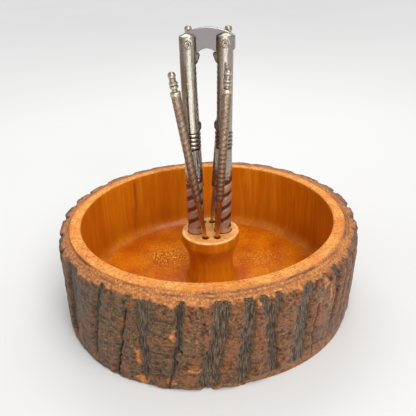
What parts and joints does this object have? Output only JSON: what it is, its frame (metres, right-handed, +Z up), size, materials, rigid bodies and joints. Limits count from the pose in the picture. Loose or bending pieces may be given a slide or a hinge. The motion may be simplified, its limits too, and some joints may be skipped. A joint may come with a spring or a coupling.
{
  "type": "nutcracker set with log bowl",
  "caption": "Hinged two-arm nutcracker and nut picks standing in the centre post of a round bark-edged log nut bowl.",
  "frame": {"origin": "centre of the log's base, on the surface it stands on", "axes": "+Z up, the nutcracker's arms swing in the XZ plane, -Y is the front"},
  "size_m": [0.1866, 0.1902, 0.1767],
  "materials": {
    "varnished_log": "gloss",
    "varnished_post": "gloss",
    "inner_bark": "satin",
    "rough_bark": "matte",
    "nickel_plated_steel": "polished",
    "satin_plate_steel": "satin",
    "worn_pick_steel": "satin",
    "zinc_screw": "satin"
  },
  "bodies": {
    "bowl": {"log_bowl": "varnished_log", "inner_bark": "inner_bark", "outer_bark": "rough_bark", "post": "varnished_post", "post_screw": "zinc_screw"},
    "cracker_link": {"link_plate": "satin_plate_steel"},
    "left_arm": {"left_arm": "nickel_plated_steel", "left_pivot_pin": "nickel_plated_steel"},
    "right_arm": {"right_arm": "nickel_plated_steel", "right_pivot_pin": "nickel_plated_steel"},
    "front_left_pick": {"front_left_pick_handle": "worn_pick_steel", "front_left_pick_tine": "worn_pick_steel"},
    "front_right_pick": {"front_right_pick_handle": "worn_pick_steel", "front_right_pick_tine": "worn_pick_steel"},
    "back_right_pick": {"back_right_pick_handle": "worn_pick_steel", "back_right_pick_tine": "worn_pick_steel"},
    "back_left_pick": {"back_left_pick_handle": "worn_pick_steel", "back_left_pick_tine": "worn_pick_steel"}
  },
  "joints": [
    {"name": "cracker_lift", "type": "slide", "parent": "bowl", "child": "cracker_link", "axis": [0, 0, 1], "range_m": [0, 0.24]},
    {"name": "left_arm_swing", "type": "hinge", "parent": "cracker_link", "child": "left_arm", "pos_m": [-0.00815, 0.004, 0.1685], "axis": [0, 1, 0], "range_deg": [0, 22.2]},
    {"name": "right_arm_swing", "type": "hinge", "parent": "cracker_link", "child": "right_arm", "pos_m": [0.01285, 0.004, 0.1685], "axis": [0, -1, 0], "range_deg": [0, 22.2]},
    {"name": "front_left_pick_lift", "type": "slide", "parent": "bowl", "child": "front_left_pick", "axis": [-0.1478, -0.0173, 0.9889], "range_m": [0, 0.11]},
    {"name": "front_right_pick_lift", "type": "slide", "parent": "bowl", "child": "front_right_pick", "axis": [0.0784, -0.0174, 0.9968], "range_m": [0, 0.11]},
    {"name": "back_right_pick_lift", "type": "slide", "parent": "bowl", "child": "back_right_pick", "axis": [0.1028, 0.0174, 0.9946], "range_m": [0, 0.11]},
    {"name": "back_left_pick_lift", "type": "slide", "parent": "bowl", "child": "back_left_pick", "axis": [-0.0349, 0.0174, 0.9992], "range_m": [0, 0.11]}
  ],
  "couplings": [
    {"joint": "left_arm_swing", "follows": "cracker_lift", "rad_per_m": 1.6},
    {"joint": "right_arm_swing", "follows": "cracker_lift", "rad_per_m": 1.6}
  ]
}
